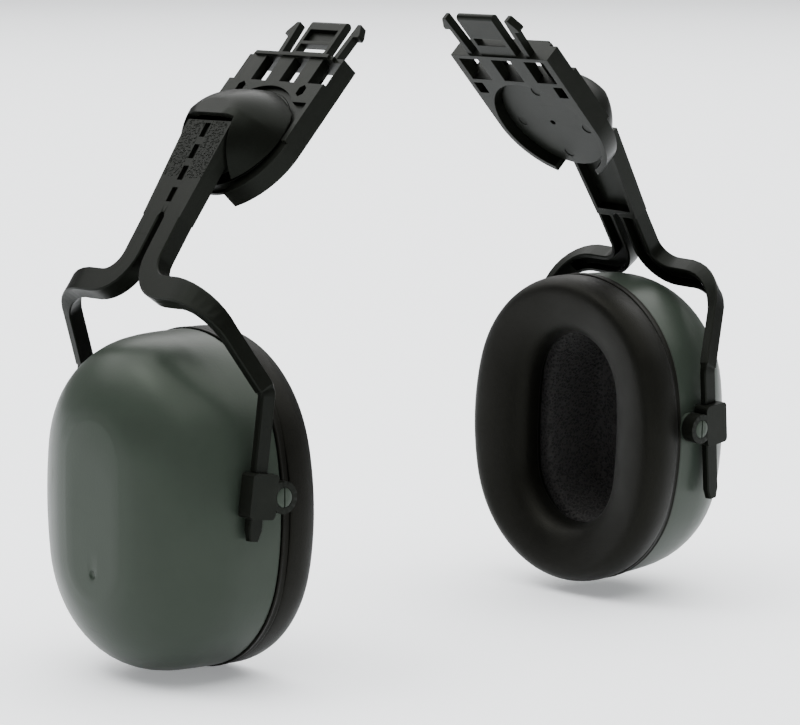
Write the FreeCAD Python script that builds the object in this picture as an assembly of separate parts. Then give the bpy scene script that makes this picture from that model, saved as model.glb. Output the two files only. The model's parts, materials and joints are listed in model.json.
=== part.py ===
import FreeCAD, Part
import math
import os

# A pair of cap-mounted earmuffs, as they hang from a safety helmet with the cushions facing each other.
# Row frame, millimetres: origin midway between the two helmet slots, +Z up, X across the head, Y fore and aft.
# Every muff is built in its own frame: origin on the hub axis at the helmet face, +X away from the head.
# The left muff is the same muff turned half round the vertical.

V = FreeCAD.Vector

# ---------------------------------------------------------------- driving sizes
hub_spread = 108.8              # between the two hub axes, measured at the helmet faces
adapter_lean = 43.0             # of the adapter plate from the vertical, degrees
arm_lean = 32.6                 # of the yoke arm from the vertical when folded in, degrees
running_gap = 0.08              # radial play of shafts and studs in their holes
sliding_gap = 0.12              # play on each side of a sliding strip
free_gap = 0.35                 # between bodies that only pass each other

# helmet adapter, in its flat frame: u across, v up the plate, n away from the helmet
adapter_half_width = 20.8
adapter_top = 30.5
ring_low = 3.9                  # n of the plate round the hub, helmet side
ring_high = 5.8                 # and its outer side
recess_radius = 19.0            # of the recess on the helmet side
adapter_depth = 7.0             # thickness of the box section above the hub
box_bottom = 13.5               # v where the box section starts
outer_half_width = 17.5         # of the box section's outer face
outer_step = 20.6               # v where the outer face steps out to the full width
skirt_height = 5.8
skirt_wall = 1.8
skirt_gap_half = 8.5            # half of the opening at the bottom of the skirt
window_width = 8.3
window_pitch = 14.0
window_bottom = 20.4
window_top = 29.1
outer_window_width = 6.4
outer_window_pitch = 12.5
outer_window_shift = 4.7        # of the middle window in the outer face
window_overlap = 0.6            # how far the two sets of windows run into each other
slant_drop = 2.5                # of a slanted window's top, helmet side
ledge = 0.8                     # of the outer face above the windows
pocket_near = 15.2              # u of the corner pockets' inner edge
hex_hole_u = 13.4
hex_hole_v = 17.6
hex_hole_radius = 2.1
blade_thickness = 2.5
blade_floor = 0.6               # n of the blade's helmet side
loop_half_width = 7.6
loop_top = 45.0
loop_bar = 1.5
loop_top_bar = 2.2
loop_window_bottom = 34.6
loop_window_top = 37.4
loop_low_bar = 1.2
loop_panel = 1.1
prong_root = 11.3
prong_tip = 12.6
prong_width = 2.0
prong_top = 45.4
barb_reach = 2.0
barb_length = 4.6

# hub: turntable, cover, cradle and its pin
disc_radius = 16.9
disc_low = 2.9                  # n of the turntable's helmet side
disc_high = 6.0
lip_radius = 18.0
cover_lift = 0.3                # of the cover's edge off the turntable
ejector_radius = 1.7
ejector_ring = 13.4
ejector_depth = 0.25
centre_hole_radius = 0.9
cover_radius = 18.3
cover_top = 18.9
cover_wall = 1.5
cover_relief = 0.5              # rise of the cover's edge above the hinge, per millimetre
cover_mouth = -2.2              # v of the cover's edge over the arm
pin_radius = 1.5
pin_v = 9.5
pin_n = 8.3
pin_length = 12.6
knuckle_radius = 2.1
knuckle_half = 2.3
lug_inner = 4.1
lug_outer = 6.2
spring_wire = 0.25
spring_turns = 2.5
cradle_floor = 1.7
cradle_low = -15.0
cradle_high = 9.0

# yoke: one moulding, a flat arm that splits into two legs
slot_top_v = -33.4              # of the arm's split, along the plate from the hub, arm pushed home
slot_top_n = 8.6
arm_half_top = 9.6
arm_half_low = 8.1
arm_thickness = 5.6
arm_length = 37.4
arm_shoulder = 31.0             # up the arm, where its end thins to a tongue
tongue_thickness = 2.0
split_half = 1.2
channel_rim = 1.3
channel_depth = 3.0
channel_top = 27.0
pocket_pitch = 7.0
pocket_count = 4
pocket_first = 4.5
pocket_length = 4.6
pocket_width = 2.3
pocket_depth = 1.2
shoulder_drop = 21.5            # from the split's top down the arm to the line of the shoulders
shoulder_y = 31.1
inner_bend = 9.5
outer_bend = 15.5
kink_x = -3.09                  # of the kink above the cup, from the split's top
kink_z = -43.7
kink_bend = 4.0
leg_y = 40.1
leg_splay = 5.95                # of the straight leg from the vertical, degrees
leg_length = 40.4
strip_width = 7.3               # of the shoulder
leg_width = 4.7
leg_thickness = 2.4
leg_tip = 3.0                   # length of its tapered end
rack_pitch = 1.6
rack_depth = 0.4

# clips on the legs, with the lugs that carry the cup
clip_width = 9.0
clip_height = 12.4
clip_out = 3.4                  # from the leg's middle to the clip's outer face
clip_in = 1.6
clip_corner = 1.3
lug_offset = 7.0                # from the leg's middle to the stud axis
lug_radius = 4.5
stud_radius = 2.7
boss_radius = 4.2
stud_end_y = 43.6
boss_end_y = 38.9

# cup, in its own frame: origin on the stud axis, +X outwards
rim_x = -3.5
rim_half_width = 38.2
rim_half_height = 47.5
rim_drop = 5.6                  # of the rim's middle below the stud axis
end_radius = 37.1
shell_depth = 35.5
shell_wall = 2.2
foam_wall = 9.0
plate_thickness = 2.4
seam_step = 0.5                 # the backplate's outline inside the rim's
plate_collar = 4.0
cushion_depth = 11.6
cushion_half_width = 40.2
cushion_half_height = 48.2
ear_half_width = 18.2
ear_half_height = 29.6
cover_skin = 1.3

# how each muff is set: arm drawn out, kink to stud, hub turned, cup tipped, arm swung out,
# and the hub's place fore or aft and up or down
rest = {"left": {"draw": 0.0, "hang": 28.0, "turn": 1.3, "tip": 2.0, "swing": 2.8, "shift": 3.7, "rise": -0.7},
        "right": {"draw": 10.4, "hang": 16.6, "turn": 3.1, "tip": 0.0, "swing": 0.0, "shift": -3.7, "rise": 0.7}}

# ---------------------------------------------------------------- directions
lean = math.radians(adapter_lean)
plate_up = V(-math.sin(lean), 0, math.cos(lean))
plate_out = V(math.cos(lean), 0, math.sin(lean))
arm_tilt = math.radians(arm_lean)
arm_down = V(math.sin(arm_tilt), 0, -math.cos(arm_tilt))
arm_out = V(math.cos(arm_tilt), 0, math.sin(arm_tilt))
splay = math.radians(leg_splay)
leg_down = V(math.sin(splay), 0, -math.cos(splay))
leg_out = V(math.cos(splay), 0, math.sin(splay))
across = V(0, 1, 0)


def frame(x_axis, y_axis, z_axis, origin=V(0, 0, 0)):
    """Placement that carries a shape made along X, Y, Z onto three given directions."""
    m = FreeCAD.Matrix(x_axis.x, y_axis.x, z_axis.x, origin.x,
                       x_axis.y, y_axis.y, z_axis.y, origin.y,
                       x_axis.z, y_axis.z, z_axis.z, origin.z,
                       0, 0, 0, 1)
    return FreeCAD.Placement(m)


plate_frame = frame(across, plate_up, plate_out)
split_top = plate_up * slot_top_v + plate_out * slot_top_n
# in the arm's frame x runs across the arm, y up the arm and z outwards, from the split's top
arm_frame = frame(across, arm_down * -1, arm_out, split_top)


# ---------------------------------------------------------------- small makers
def block(x0, x1, y0, y1, z0, z1):
    return Part.makeBox(x1 - x0, y1 - y0, z1 - z0, V(x0, y0, z0))


def rod(radius, start, end):
    return Part.makeCylinder(radius, (end - start).Length, start, end - start)


def disc(radius, z0, z1, x=0.0, y=0.0):
    return Part.makeCylinder(radius, z1 - z0, V(x, y, z0))


def prism(points, z0, z1):
    corners = [V(x, y, z0) for x, y in points]
    face = Part.Face(Part.makePolygon(corners + corners[:1]))
    return face.extrude(V(0, 0, z1 - z0))


def moved(shape, placement):
    """A copy of the shape, carried through a placement."""
    out = shape.copy()
    out.Placement = placement.multiply(out.Placement)
    return out


def oval(x, half_width, half_height, radius, z_middle):
    """Closed outline of four tangent arcs in a plane of constant x."""
    side = ((half_height - radius) ** 2 - (half_width - radius) ** 2) / (2 * (half_width - radius))
    rise = half_height - radius
    reach = math.hypot(side, rise)
    ty = side / reach * radius
    tz = rise + rise / reach * radius
    right, top, left, bottom = V(0, half_width), V(0, 0, half_height), V(0, -half_width), V(0, 0, -half_height)
    c1, c2, c3, c4 = V(0, ty, tz), V(0, -ty, tz), V(0, -ty, -tz), V(0, ty, -tz)
    arcs = [Part.Arc(c4, right, c1), Part.Arc(c1, top, c2), Part.Arc(c2, left, c3), Part.Arc(c3, bottom, c4)]
    wire = Part.Wire([arc.toShape() for arc in arcs])
    wire.translate(V(x, 0, z_middle))
    return wire


def cup_loft(stations, inset=0.0):
    """Solid through ovals; each station gives x, half width and half height."""
    wires = []
    for x, half_width, half_height in stations:
        a = half_width - inset
        b = half_height - inset
        radius = min(end_radius * half_width / rim_half_width - inset, a - 0.5)
        wires.append(oval(x, a, b, radius, -rim_drop))
    return Part.makeLoft(wires, True, False)


# ---------------------------------------------------------------- helmet adapter
def adapter():
    """Plate that plugs into the helmet: ring, box section with windows, skirt, loop and prongs."""
    w = adapter_half_width
    plate = block(-w, w, 0, adapter_top, 0, ring_high)
    plate = plate.fuse(disc(w, 0, ring_high))
    upper = block(-w, w, box_bottom, outer_step, 0, adapter_depth)
    upper = upper.fuse(block(-w, w, outer_step, adapter_top, 0, ring_high))
    upper = upper.fuse(block(-outer_half_width, outer_half_width, outer_step, adapter_top, 0, adapter_depth))
    upper = upper.fuse(block(-outer_half_width + 1.5, outer_half_width - 1.5, window_top + 0.2, adapter_top,
                             adapter_depth - 1, adapter_depth + ledge))
    walls = block(-w, w, 0, box_bottom + 1, 0, adapter_depth)
    walls = walls.cut(block(-w + skirt_wall, w - skirt_wall, -1, box_bottom + 2, -1, adapter_depth + 1))
    body = plate.fuse([upper, walls])
    body = body.cut(disc(cover_radius + free_gap, ring_high, adapter_depth + 1))
    body = body.cut(disc(disc_radius + running_gap, -1, ring_high + 1))
    body = body.cut(disc(recess_radius, -1, ring_low))
    body = body.cut(block(-skirt_gap_half, skirt_gap_half, -w - 1, -disc_radius / 2, -1, skirt_height + 1))
    middle = adapter_depth / 2
    for k in (-1, 0, 1):
        u = k * window_pitch
        body = body.cut(block(u - window_width / 2, u + window_width / 2, window_bottom, window_top,
                              -1, middle + window_overlap / 2))
        u = outer_window_shift + k * outer_window_pitch
        body = body.cut(block(u - outer_window_width / 2, u + outer_window_width / 2, window_bottom, window_top,
                              middle - window_overlap / 2, adapter_depth + 1))
    for k in (-1, 0):
        body = body.cut(slant_window(outer_window_shift + k * outer_window_pitch, (k + 1) * window_pitch))
    for side in (-1, 1):
        low, high = sorted((side * pocket_near, side * (w - skirt_wall)))
        body = body.cut(block(low, high, pocket_near - 0.7, window_bottom - 1.6, -1, ring_low))
        hexagon = [(side * hex_hole_u + 0.8 * hex_hole_radius * math.cos(math.radians(a)),
                    hex_hole_v + hex_hole_radius * math.sin(math.radians(a))) for a in range(30, 390, 60)]
        body = body.cut(prism(hexagon, ring_low + 1, adapter_depth + 1))
    body = body.fuse(blade())
    return body.removeSplitter()


def slant_window(u_outer, u_inner):
    """Slanted opening from a window in the outer face to the next one on the helmet side."""
    ends = []
    for n, u, half, low, high in ((adapter_depth + 0.01, u_outer, outer_window_width / 2, window_bottom, window_top),
                                  (-0.01, u_inner, window_width / 2, window_bottom, window_top - slant_drop)):
        corners = [V(u - half, low, n), V(u + half, low, n), V(u + half, high, n), V(u - half, high, n)]
        ends.append(Part.makePolygon(corners + corners[:1]))
    return Part.makeLoft(ends, True, True)


def blade():
    """Central loop and two barbed prongs that go up into the helmet slot."""
    h = loop_half_width
    n0 = blade_floor
    n1 = blade_floor + blade_thickness
    root = adapter_top - 1.0
    loop = block(-h, h, root, loop_top, n0, n1)
    loop = loop.cut(block(-h + loop_bar, h - loop_bar, loop_window_bottom, loop_window_top, n0 - 1, n1 + 1))
    loop = loop.cut(block(-h + loop_bar, h - loop_bar, loop_window_top + loop_low_bar, loop_top - loop_top_bar,
                          n0 + loop_panel, n1 + 1))
    bar = rod(blade_thickness / 2, V(-h, loop_top, (n0 + n1) / 2), V(h, loop_top, (n0 + n1) / 2))
    solid = loop.fuse(bar)
    for side in (-1, 1):
        inner_root = side * prong_root
        outer_root = side * (prong_root + prong_width)
        inner_tip = side * prong_tip
        outer_tip = side * (prong_tip + prong_width * 0.7)
        barb = side * (prong_tip + prong_width * 0.7 + barb_reach)
        low = prong_top - barb_length
        outline = [(inner_root, root), (outer_root, root), (outer_tip, low), (barb, low),
                   (barb, low + 1.0), (outer_tip, prong_top), (inner_tip, prong_top)]
        solid = solid.fuse(prism(outline, n0, n1))
    return solid


# ---------------------------------------------------------------- hub
def hub_base():
    """Turntable with a lip behind the plate and two lugs for the cradle's pin."""
    solid = disc(disc_radius, disc_low, disc_high)
    solid = solid.fuse(disc(lip_radius, disc_low, ring_low - running_gap))
    for side in (-1, 1):
        u0, u1 = sorted((side * lug_inner, side * lug_outer))
        lug = rod(knuckle_radius, V(u0, pin_v, pin_n), V(u1, pin_v, pin_n))
        post = block(u0, u1, pin_v - knuckle_radius, pin_v + knuckle_radius, disc_high - 1, pin_n)
        solid = solid.fuse([lug, post])
    solid = solid.cut(rod(pin_radius, V(-lug_outer - 1, pin_v, pin_n), V(lug_outer + 1, pin_v, pin_n)))
    for angle in (95, 185, 275, 355):
        u = ejector_ring * math.cos(math.radians(angle))
        v = ejector_ring * math.sin(math.radians(angle))
        solid = solid.cut(disc(ejector_radius, disc_low - 1, disc_low + ejector_depth, u, v))
    return solid.cut(disc(centre_hole_radius, -1, disc_high + 1))


def egg(n, half_width, low, high):
    """Outline across the hub cover at height n: half width and reach below and above the axis."""
    p_low, p_high = V(0, low, n), V(0, high, n)
    p_left, p_right = V(-half_width, 0, n), V(half_width, 0, n)

    def quarter(end_a, end_b, sign_u, reach_v):
        mid = V(sign_u * half_width * math.sqrt(0.5), reach_v * math.sqrt(0.5), n)
        return Part.Arc(end_a, mid, end_b).toShape()
    return Part.Wire([quarter(p_right, p_high, 1, high), quarter(p_high, p_left, -1, high),
                      quarter(p_left, p_low, -1, low), quarter(p_low, p_right, 1, low)])


def cover_shape(inset):
    """Low dome of the hub cover, smaller all round by inset."""
    base = disc_high + cover_lift
    rise = cover_top - base
    levels = [(0.0, 1.0, 1.0, 1.0), (0.34, 0.90, 0.88, 0.77), (0.64, 0.78, 0.72, 0.58),
              (0.84, 0.65, 0.52, 0.41), (0.96, 0.50, 0.32, 0.27), (1.0, 0.36, 0.20, 0.16)]
    wires = []
    for share, wide, low, high in levels:
        height = base + share * rise - inset * (0.2 + 0.8 * share) + (inset * 0.2 if share == 0.0 else 0.0)
        wires.append(egg(height, cover_radius * wide - inset, -cover_radius * low + inset, cover_radius * high - inset))
    return Part.makeLoft(wires, True, False)


def hub_cover():
    """Domed cover with a mouth that the arm leaves through; its edge rises above the hinge."""
    solid = cover_shape(0.0).cut(cover_shape(cover_wall))
    base = disc_high + cover_lift
    mouth = arm_half_top + free_gap
    solid = solid.cut(block(-mouth, mouth, -cover_radius - 2, cover_mouth, base - 1, cover_top + 5))
    reach = cover_radius + 2 - pin_v
    wedge = Part.Face(Part.makePolygon([V(-25, pin_v, base - 2), V(-25, pin_v, base),
                                        V(-25, pin_v + reach, base + reach * cover_relief),
                                        V(-25, pin_v + reach, base - 2), V(-25, pin_v, base - 2)]))
    return solid.cut(wedge.extrude(V(50, 0, 0)))


def arm_box(half_top, half_low, low, high, n0, n1):
    """Tapered slab in the arm's frame."""
    return prism([(-half_low, low), (half_low, low), (half_top, high), (-half_top, high)], n0, n1)


def cradle():
    """Carriage inside the cover, hinged on the pin: a floor that the arm slides on, and a knuckle."""
    inner = -arm_thickness / 2 - sliding_gap
    low = cradle_low - slot_top_v
    high = cradle_high - slot_top_v
    floor = moved(block(-cover_radius, cover_radius, low, high, inner - cradle_floor, inner),
                  plate_frame.inverse().multiply(arm_frame))
    web = block(-knuckle_half, knuckle_half, pin_v - knuckle_radius, pin_v + knuckle_radius, pin_n, cover_top)
    top = inner + arm_thickness + 3
    above = moved(block(-30, 30, low - 20, high + 20, inner, top), plate_frame.inverse().multiply(arm_frame))
    solid = floor.fuse(web.cut(above)).common(cover_shape(cover_wall))
    solid = solid.fuse(rod(knuckle_radius, V(-knuckle_half, pin_v, pin_n), V(knuckle_half, pin_v, pin_n)))
    bore = rod(pin_radius + running_gap, V(-lug_outer, pin_v, pin_n), V(lug_outer, pin_v, pin_n))
    solid = solid.cut(bore)
    for side in (-1, 1):
        u0, u1 = sorted((side * knuckle_half, side * (lug_outer + free_gap)))
        room = rod(knuckle_radius + free_gap, V(u0, pin_v, pin_n), V(u1, pin_v, pin_n))
        post = block(u0, u1, pin_v - knuckle_radius - 2, pin_v + knuckle_radius + free_gap, disc_high - 1, pin_n)
        solid = solid.cut(room.fuse(post))
    return solid


def cradle_pin():
    return rod(pin_radius, V(-pin_length / 2, pin_v, pin_n), V(pin_length / 2, pin_v, pin_n))


def return_spring():
    """Torsion spring round the pin, between the turntable's lug and the cradle's knuckle."""
    radius = pin_radius + spring_wire
    pitch = 2.2 * spring_wire
    height = spring_turns * pitch
    helix = Part.makeHelix(pitch, height, radius)
    start = V(radius, 0, 0)
    section = Part.Wire(Part.Circle(start, V(0, 1, pitch / (2 * math.pi * radius)), spring_wire).toShape())
    coil = Part.Wire(helix.Edges).makePipeShell([section], True, True)
    turn = frame(V(0, 1, 0), V(0, 0, 1), V(1, 0, 0), V(-lug_inner + spring_wire, pin_v, pin_n))
    return moved(coil, turn)


# ---------------------------------------------------------------- yoke
def bend_path(points, radii, steps):
    """Points along straight runs joined by arcs, each with the share of its corner that it lies in."""
    path = [(points[0], 0.0)]
    for i in range(1, len(points) - 1):
        before = (points[i - 1] - points[i]).normalize()
        after = (points[i + 1] - points[i]).normalize()
        half = before.getAngle(after) / 2
        reach = radii[i - 1] / math.tan(half)
        first = points[i] + before * reach
        last = points[i] + after * reach
        centre = points[i] + (before + after).normalize() * (radii[i - 1] / math.sin(half))
        axis = (first - centre).cross(last - centre).normalize()
        total = math.pi - 2 * half
        for k in range(steps + 1):
            spin = FreeCAD.Rotation(axis, math.degrees(total * k / steps))
            path.append((centre + spin.multVec(first - centre), i - 1 + k / steps))
    path.append((points[-1], float(len(points) - 2)))
    return path


def strip_wire(centre, wide, normal, width, thickness, low=-0.5, high=0.5, bevel=0.35):
    """Bevelled rectangle across the strip; low and high bound its thickness."""
    a = width / 2
    n0 = thickness * low
    n1 = thickness * high
    corners = [(-a, n0 + bevel), (-a, n1 - bevel), (-a + bevel, n1), (a - bevel, n1),
               (a, n1 - bevel), (a, n0 + bevel), (a - bevel, n0), (-a + bevel, n0)]
    points = [centre + wide * p + normal * q for p, q in corners]
    return Part.makePolygon(points + points[:1])


def leg_stations(side):
    """Centre, directions and size of the strip along one leg, in the muff's frame from the split's top."""
    leg_middle = split_half + (arm_half_low - split_half) / 2
    top = V(0, side * leg_middle, 0)
    shoulder_in = arm_down * shoulder_drop + V(0, side * leg_middle, 0)
    shoulder_out = arm_down * shoulder_drop + V(0, side * shoulder_y, 0)
    kink = V(kink_x, side * leg_y, kink_z)
    end = kink + leg_down * leg_length
    path = bend_path([top, shoulder_in, shoulder_out, kink, end], [inner_bend, outer_bend, kink_bend], 8)
    path.insert(len(path) - 1, (end - leg_down * leg_tip, path[-1][1]))
    outward = V(0, side, 0)
    stations = []
    for i, (point, corner) in enumerate(path):
        before = path[max(i - 1, 0)][0]
        after = path[min(i + 1, len(path) - 1)][0]
        along = (after - before).normalize()
        share = min(max(corner - 1.0, 0.0), 1.0)
        taper = min(max(corner - 1.0, 0.0), 1.2) / 1.2
        normal = arm_out * (1 - share) + outward * share
        normal = (normal - along * normal.dot(along)).normalize()
        wide = normal.cross(along).normalize() * side
        first = min(max(corner, 0.0), 1.0)
        start_width = (arm_half_low - split_half) * (1 - first) + strip_width * first
        width = start_width * (1 - taper) + leg_width * taper
        thickness = arm_thickness * (1 - taper) + leg_thickness * taper
        if i == len(path) - 1:
            width = width * 0.6
        stations.append((point, wide, normal, width, thickness, corner))
    return stations


def leg(side):
    """One leg of the yoke with the channel on its inner side and the rack below the kink."""
    stations = leg_stations(side)
    solid = Part.makeLoft([strip_wire(p, w, n, width, t) for p, w, n, width, t, _ in stations], True, True)
    hollow = [(p, w, n, width - 2 * channel_rim, t) for p, w, n, width, t, corner in stations if corner <= 1.5]
    wires = [strip_wire(p, w, n, width, t, -0.7, -0.5 + channel_depth / arm_thickness, 0.2)
             for p, w, n, width, t in hollow]
    solid = solid.cut(Part.makeLoft(wires, True, True))
    return solid.cut(rack(side))


def rack(side):
    """Fine grooves across the cup side of the straight leg."""
    kink = V(kink_x, side * leg_y, kink_z)
    grooves = []
    count = int((leg_length - 14.0) / rack_pitch)
    for k in range(count):
        point = kink + leg_down * (7.0 + k * rack_pitch) - V(0, side * leg_thickness / 2, 0)
        ends = []
        for reach in (-leg_width, leg_width):
            a = point + leg_out * reach + leg_down * (-0.35 * rack_pitch) - V(0, side * 0.2, 0)
            b = point + leg_out * reach + leg_down * (0.35 * rack_pitch) - V(0, side * 0.2, 0)
            c = point + leg_out * reach + V(0, side * rack_depth, 0)
            ends.append(Part.makePolygon([a, b, c, a]))
        grooves.append(Part.makeLoft(ends, True, True))
    return grooves


def yoke():
    """The whole yoke: arm with pockets and channel, split, two legs."""
    half = arm_thickness / 2
    arm = arm_box(arm_half_top, arm_half_low, 0.0, arm_shoulder, -half, half)
    arm = arm.fuse(block(-arm_half_top, arm_half_top, arm_shoulder - 1, arm_length, -half, -half + tongue_thickness))
    hollow = arm_box(arm_half_top - channel_rim, arm_half_low - channel_rim, split_half + channel_rim,
                     channel_top, -half - 1, -half + channel_depth)
    arm = arm.cut(hollow)
    for k in range(pocket_count):
        low = pocket_first + k * pocket_pitch
        arm = arm.cut(block(-pocket_width / 2, pocket_width / 2, low, low + pocket_length,
                            half - pocket_depth, half + 1))
    arm = arm.cut(disc(split_half, -half - 1, half + 1))
    solid = moved(arm, frame(across, arm_down * -1, arm_out))
    solid = solid.fuse([leg(-1), leg(1)])
    solid.translate(split_top)
    return solid.removeSplitter()


# ---------------------------------------------------------------- clips
def clip(side, hang):
    """Block that slides on one leg, with the ring that carries the cup's stud."""
    x0 = -lug_offset
    block_shape = block(-clip_width / 2, clip_width / 2, -clip_in, clip_out, -clip_height / 2, clip_height / 2)
    corners = [edge for edge in block_shape.Edges if abs(edge.tangentAt(edge.FirstParameter).y) > 0.9]
    block_shape = block_shape.makeFillet(clip_corner, corners)
    ring_in = boss_end_y + free_gap - leg_y
    ring_out = stud_end_y - 0.1 - leg_y
    ring = Part.makeCylinder(lug_radius, ring_out - ring_in, V(x0, ring_in, 0), V(0, 1, 0))
    neck = block(x0, 0, ring_in, ring_out, -lug_radius + 0.8, lug_radius - 0.8)
    recess = Part.makeCylinder(boss_radius + free_gap, 10 + ring_in, V(x0, -10, 0), V(0, 1, 0))
    solid = block_shape.fuse([ring, neck]).cut(recess)
    solid = solid.cut(block(-leg_width / 2 - sliding_gap, leg_width / 2 + sliding_gap,
                            -leg_thickness / 2 - sliding_gap, leg_thickness / 2 + sliding_gap,
                            -clip_height, clip_height))
    solid = solid.cut(Part.makeCylinder(stud_radius + running_gap, 20, V(x0, -10, 0), V(0, 1, 0)))
    solid = solid.removeSplitter()
    if side < 0:
        solid = solid.mirror(V(0, 0, 0), V(0, 1, 0))
    middle = split_top + V(kink_x, side * leg_y, kink_z) + leg_down * hang
    return moved(solid, frame(leg_out, across, leg_down * -1, middle))


def stud_axis(hang):
    return split_top + V(kink_x, 0, kink_z) + leg_down * hang - leg_out * lug_offset


# ---------------------------------------------------------------- cup
face_x = rim_x + shell_depth


def shell_stations():
    """Ovals of the shell from the rim to its flat face."""
    shares = [(0.0, 1.0), (0.12, 0.999), (0.26, 0.994), (0.40, 0.983), (0.54, 0.953),
              (0.68, 0.888), (0.80, 0.785), (0.90, 0.635), (0.97, 0.460), (1.0, 0.30)]
    return [(rim_x + shell_depth * s, rim_half_width * k, rim_half_height - 0.85 * rim_half_width * (1 - k))
            for s, k in shares]


def cavity_stations(clearance):
    """Ovals inside the shell, up to its inner face."""
    inset = shell_wall + clearance
    out = []
    for x, a, b in shell_stations():
        share = (x - rim_x) / shell_depth
        out.append((rim_x + share * (shell_depth - inset), a - inset * (1 + 0.6 * share), b - inset * (1 + 0.6 * share)))
    return out


def cup_shell():
    """Domed outer shell with a boss and a stud on each side."""
    solid = cup_loft(shell_stations())
    for side in (-1, 1):
        boss = rod(boss_radius, V(0, side * (rim_half_width - 6), 0), V(0, side * boss_end_y, 0))
        stud = rod(stud_radius, V(0, side * (rim_half_width - 6), 0), V(0, side * stud_end_y, 0))
        solid = solid.fuse([boss, stud])
    solid = solid.cut(cup_loft(cavity_stations(0.0)))
    slit = block(-0.25, 0.25, stud_end_y - 1.0, stud_end_y + 1, -stud_radius, stud_radius)
    for side in (-1, 1):
        solid = solid.cut(slit if side > 0 else slit.mirror(V(0, 0, 0), V(0, 1, 0)))
    return solid.cut(block(rim_x - 20, rim_x, -60, 60, -80, 80))


def foam_insert():
    """Acoustic foam that lines the shell, with a pocket for the ear."""
    solid = cup_loft(cavity_stations(0.0))
    pocket = [(rim_x - 1, ear_half_width + 1, ear_half_height + 1),
              (face_x - shell_wall - foam_wall, ear_half_width - 2, ear_half_height - 2)]
    solid = solid.cut(cup_loft(pocket))
    return solid.cut(block(rim_x - 20, rim_x + plate_collar, -60, 60, -80, 80))


def backplate():
    """Plate that snaps into the shell's rim and carries the cushion."""
    x1 = rim_x
    x0 = x1 - plate_thickness
    a, b = rim_half_width - seam_step, rim_half_height - seam_step
    solid = cup_loft([(x0, a, b), (x1, a, b)])
    inner = cup_loft([(x0 - 0.5, ear_half_width + 2, ear_half_height + 2),
                      (rim_x + plate_collar + 1, ear_half_width + 2, ear_half_height + 2)])
    grip = shell_wall * 1.6 + 0.3
    collar = cup_loft([(x1 - 0.5, rim_half_width - grip, rim_half_height - grip),
                       (rim_x + plate_collar, rim_half_width - grip - 0.6, rim_half_height - grip - 0.6)])
    hollow = cup_loft([(x1, rim_half_width - grip - 1.8, rim_half_height - grip - 1.8),
                       (rim_x + plate_collar + 1, rim_half_width - grip - 2.4, rim_half_height - grip - 2.4)])
    return solid.fuse(collar.cut(hollow)).cut(inner)


def cushion_ring(inset):
    """Ring of the cushion, smaller all round by inset."""
    x0 = rim_x - plate_thickness
    depth = cushion_depth
    outer = [(0.0, -1.6), (0.22, -0.2), (0.55, 0.0), (0.80, -1.5), (0.94, -4.0), (1.0, -6.6)]
    hole = [(0.0, 0.0), (0.6, 0.2), (0.85, 1.6), (1.0, 5.0)]
    squeeze = (depth - 2 * inset) / depth

    def place(share):
        return x0 - inset - share * depth * squeeze
    body = cup_loft([(place(s), cushion_half_width + d - inset, cushion_half_height + d - inset)
                     for s, d in outer])
    bore = [(place(s), ear_half_width + d + inset, ear_half_height + d + inset) for s, d in hole]
    first = bore[0]
    last = bore[-1]
    bore = [(first[0] + 1.0, first[1], first[2])] + bore + [(last[0] - 1.0, last[1] + 0.8, last[2] + 0.8)]
    return body.cut(cup_loft(bore))


def cushion_foam():
    return cushion_ring(cover_skin)


def cushion_cover():
    return cushion_ring(0.0).cut(cushion_ring(cover_skin))


# ---------------------------------------------------------------- assembly
def muff_pieces(side_name):
    """All pieces of one muff in its own frame, set to its rest values."""
    set_to = rest[side_name]
    turn = FreeCAD.Placement(V(0, 0, 0), FreeCAD.Rotation(plate_out, set_to["turn"]))
    hinge = plate_up * pin_v + plate_out * pin_n
    swing = FreeCAD.Placement(V(0, 0, 0), FreeCAD.Rotation(V(0, -1, 0), set_to["swing"]), hinge)
    draw = FreeCAD.Placement(arm_down * set_to["draw"], FreeCAD.Rotation())
    tip = FreeCAD.Placement(stud_axis(set_to["hang"]), FreeCAD.Rotation(V(0, 1, 0), set_to["tip"]))
    swung = turn.multiply(swing)
    drawn = swung.multiply(draw)
    groups = [
        (plate_frame, {"adapter": adapter()}),
        (turn.multiply(plate_frame), {"hub_base": hub_base(), "cradle_pin": cradle_pin(),
                                      "return_spring": return_spring()}),
        (swung.multiply(plate_frame), {"hub_cover": hub_cover(), "arm_cradle": cradle()}),
        (drawn, {"yoke": yoke(), "clip_rear": clip(1, set_to["hang"]), "clip_front": clip(-1, set_to["hang"])}),
        (drawn.multiply(tip), {"cup_shell": cup_shell(), "backplate": backplate(), "foam_insert": foam_insert(),
                               "cushion_foam": cushion_foam(), "cushion_cover": cushion_cover()})]
    pieces = {}
    for placement, shapes in groups:
        for name, shape in shapes.items():
            pieces[name] = moved(shape, placement)
    return pieces


def muff_places():
    """Where each muff's frame stands in the row's frame."""
    height = -plate_up.z * adapter_top
    places = {}
    for side_name, side, spin in (("left", -1, 180), ("right", 1, 0)):
        set_to = rest[side_name]
        point = V(side * hub_spread / 2, set_to["shift"], height + set_to["rise"])
        places[side_name] = FreeCAD.Placement(point, FreeCAD.Rotation(V(0, 0, 1), spin))
    return places


def main():
    os.makedirs("parts", exist_ok=True)
    for side_name, place in muff_places().items():
        for name, shape in muff_pieces(side_name).items():
            solid = moved(shape, place)
            if len(solid.Solids) == 1:
                solid = solid.Solids[0]
            node = side_name + "_" + name
            solid.exportStep("parts/" + node + ".step")
            print(node, solid.isValid(), len(solid.Solids), round(solid.Volume, 1))


main()
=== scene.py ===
import json
import math

import bmesh
import bpy
from mathutils import Matrix, Vector, noise


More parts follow.
